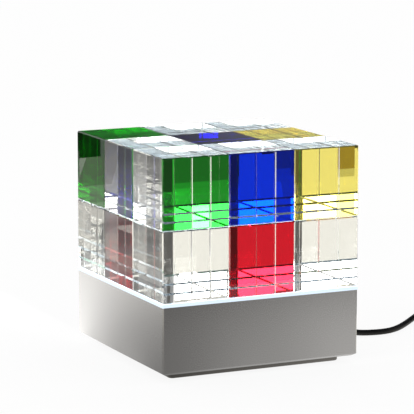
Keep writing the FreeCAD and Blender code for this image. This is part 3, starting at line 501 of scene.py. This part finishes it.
# Levels of light: the share of the way along the card, and the strength there.
PANEL_LEVELS = [(0, 14), (0.2, 13), (0.5, 5), (1, 2)]
HIGH_RIGHT_LEVELS = [(0, 0.04), (0.6, 0.22), (1, 0.10)]
FRONT_LEVELS = [(0, 0.34), (0.5, 0.62), (1, 0.90)]
LEFT_LEVELS = [(0, 0.37), (0.5, 0.80), (0.85, 1.4), (1, 2.4)]
LEFT_TABLE_LEVELS = [
    (0, 0.95),
    (0.12, 0.6),
    (0.26, 0.5),
    (0.38, 1.2),
    (0.49, 1.1),
    (0.60, 0.75),
    (0.74, 0.70),
    (1, 0.45),
]
HAND_CARDS_Y = 0.145
HAND_CARDS = [  # left, right, low, high, colour
    (-0.0960, -0.0470, 0.0785, 0.0820, (0.75, 0.74, 0.70)),
    (-0.0960, -0.0583, 0.0820, 0.0985, (0.38, 0.37, 0.35)),
    (-0.0835, -0.0710, 0.1000, 0.1160, (80, 66, 62)),
    (-0.0583, -0.0470, 0.0820, 0.0865, (0.72, 0.70, 0.66)),
    (-0.0583, -0.0470, 0.0865, 0.0985, (0.45, 0.38, 0.34)),
    (-0.0583, -0.0470, 0.1000, 0.1160, (1.0, 0.98, 0.92)),
    (-0.0900, -0.0690, 0.1435, 0.1520, (0.9, 0.7, 0.3)),
    (-0.0550, -0.0100, 0.1435, 0.1520, (0.8, 0.5, 0.15)),
    (-0.0228, -0.0108, 0.0785, 0.0835, (0.75, 0.73, 0.60)),
    (-0.0228, -0.0108, 0.0835, 0.0985, (0.43, 0.33, 0.10)),
    (-0.0228, -0.0100, 0.1000, 0.1160, (3.9, 3.9, 3.9)),
    (0.0028, 0.0112, 0.1000, 0.1160, (5.0, 4.6, 7.5)),
    (0.0140, 0.0160, 0.0250, 0.0985, DARK_CORNER),
    (0.0132, 0.0182, 0.0985, 0.1200, (0.38, 0.34, 0.26)),
    (0.0560, 0.0610, 0.1000, 0.1140, (0.28, 0.22, 0.26)),
]


def card(name, corners, material):
    """A studio card that shows only in metal and glass."""
    plane = stage_plane(name, corners, material)
    plane.visible_camera = False
    plane.visible_diffuse = False
    plane.visible_shadow = False
    return plane


def floor_card(name, outline, material, height=CARD_LIFT):
    return card(name, [(x, y, height) for x, y in outline], material)


def standing_card(name, left, right, low, high, material):
    """An upright card over the line from its left foot to its right foot."""
    return card(name, [(*left, low), (*right, low), (*right, high), (*left, high)], material)


def glowing(name, colour):
    """A material of one even light."""
    material, tree, _ = new_material(name)
    cover(tree, emission(tree, colour))
    return material


def graded(name, across, start, end, levels):
    """A material whose light changes along one direction, from start to end in metres."""
    material, tree, _ = new_material(name)
    dot = add_node(tree, "ShaderNodeVectorMath", {0: place_of(tree)}, operation="DOT_PRODUCT")
    dot.inputs[1].default_value = across
    share = between(tree, dot.outputs["Value"], 0.0, 1.0, start, end)
    ramp = add_node(tree, "ShaderNodeValToRGB", {"Fac": share})
    ramp.color_ramp.interpolation = "EASE"
    peak = max(level for spot, level in levels)
    elements = ramp.color_ramp.elements
    while len(elements) < len(levels):
        elements.new(0.5)
    for element, (spot, level) in zip(elements, levels):
        element.position = spot
        element.color = (level / peak, level / peak, level / peak, 1)
    glow = add_node(tree, "ShaderNodeEmission", {"Color": ramp.outputs["Color"]}, Strength=peak)
    cover(tree, glow.outputs[0])
    return material


def make_back_cards():
    """Bright panel behind on the left, the dark strip at the table's end, and the table's darker parts."""
    panel = graded("panel_light", UP, PANEL_DIMS, PANEL_HIGH, PANEL_LEVELS)
    standing_card("panel", (-0.70, 0.80), (-0.20, 1.00), PANEL_LOW, PANEL_HIGH, panel)
    strip = glowing("strip_dark", (0.02, 0.02, 0.02))
    standing_card("strip", (-0.90, TABLE_END), (-0.325, TABLE_END), 0.0, PANEL_LOW, strip)

    middle_table = glowing("middle_table", (0.78, 0.76, 0.70))
    middle_corners = [(-0.265, 0.500), (-0.234, 0.500), (-0.270, 0.575), (-0.301, 0.575)]
    floor_card("middle_table", middle_corners, middle_table)
    far_table = glowing("far_table", (0.50, 0.48, 0.43))
    far_corners = [(-0.301, 0.576), (-0.270, 0.576), (-0.338, SHORT_OF_END), (-0.369, SHORT_OF_END)]
    floor_card("far_table", far_corners, far_table)

    left_table = graded("left_table", BACK, 0.29, TABLE_END, LEFT_TABLE_LEVELS)
    left_corners = [(-0.60, 0.292), (-0.167, 0.292), (-0.369, SHORT_OF_END), (-0.90, SHORT_OF_END)]
    floor_card("left_table", left_corners, left_table)
    standing_card("left_table_end", (-0.385, 0.716), (-0.350, 0.716), 0.0, 0.03, left_table)
    left_screen = glowing("left_screen", (0.25, 0.24, 0.22))
    standing_card("left_screen", (-0.165, 0.165), (-0.165, 0.292), 0.0845, 0.128, left_screen)


def make_hand_cards():
    """Small cards behind the glass, each in front of one part of what a cube shows of the table."""
    for index, (left, right, low, high, colour) in enumerate(HAND_CARDS, 1):
        name = f"hand_card_{index}"
        material = glowing(name, colour)
        standing_card(name, (left, HAND_CARDS_Y), (right, HAND_CARDS_Y), low, high, material)


def make_right_cards():
    """Dark corner behind on the right, with a grey band above it and a graded dark card on top."""
    dark = glowing("behind_right_dark", DARK_CORNER)
    corners = [(-0.045, 0.075), (0.50, 0.02), (0.60, 0.30), (0.02, 0.42)]
    floor_card("behind_right_floor", corners, dark)
    standing_card("behind_right", (0.02, 0.42), (0.60, 0.24), 0.0, DARK_CORNER_HIGH, dark)
    grey = glowing("above_right_grey", (0.35, 0.36, 0.38))
    feet = ((0.0, 0.425), (0.60, 0.245))
    standing_card("above_right", *feet, DARK_CORNER_HIGH, GREY_BAND_HIGH, grey)
    high_right = graded("high_right_graded", RIGHT, 0.10, 0.32, HIGH_RIGHT_LEVELS)
    standing_card("high_right", *feet, GREY_BAND_HIGH, 0.60, high_right)


def make_front_cards():
    """Dark cards in front of the lamp."""
    dark = glowing("front_dark", (0.05, 0.05, 0.05))
    standing_card("front", (-0.55, FRONT_CARD_Y), (0.70, FRONT_CARD_Y), 0.0, 0.45, dark)
    corners = [(-0.20, -0.359), (0.70, -0.359), (0.70, -0.065), (-0.20, -0.065)]
    floor_card("front_dark_floor", corners, dark)


def make_base_cards():
    """Graded cards on the table next to the base, which show in reflections alone.

    Their light changes across the camera's view as the base's sides mirror it.
    """
    front_glow = graded("front_graded", (VIEW_DEPTH, VIEW_SIDE, 0), -0.080, 0.030, FRONT_LEVELS)
    left_glow = graded("left_graded", (VIEW_DEPTH / VIEW_SIDE, 1, 0), -0.187, -0.067, LEFT_LEVELS)
    front_corners = [(-0.166, -0.05), (-0.166, -0.285), (0.45, -0.285), (0.45, -0.05)]
    left_corners = [(-0.05, -0.05), (-0.05, 0.285), (-0.166, 0.285), (-0.166, -0.05)]
    for plane in (
        floor_card("front_floor", front_corners, front_glow, GRADED_LIFT),
        floor_card("left_floor", left_corners, left_glow, GRADED_LIFT),
    ):
        plane.visible_transmission = False


def make_studio():
    """Cards and a bright panel round the lamp, as glass is photographed."""
    make_back_cards()
    make_hand_cards()
    make_right_cards()
    make_front_cards()
    make_base_cards()


def use_long_light_paths():
    """Light crosses many faces of the stacked cubes before it leaves them."""
    cycles = scene.cycles
    cycles.max_bounces = 40
    cycles.transmission_bounces = 40
    cycles.glossy_bounces = 32
    cycles.diffuse_bounces = 3


# ------------------------------------------------------------------ all together
materials = make_materials()
dress_frame(materials)
make_cord().data.materials.append(materials["cord_jacket"])
make_glass(materials)
make_table()
make_world()
make_studio()
use_long_light_paths()
scene.view_settings.view_transform = "Standard"

bpy.context.view_layer.update()
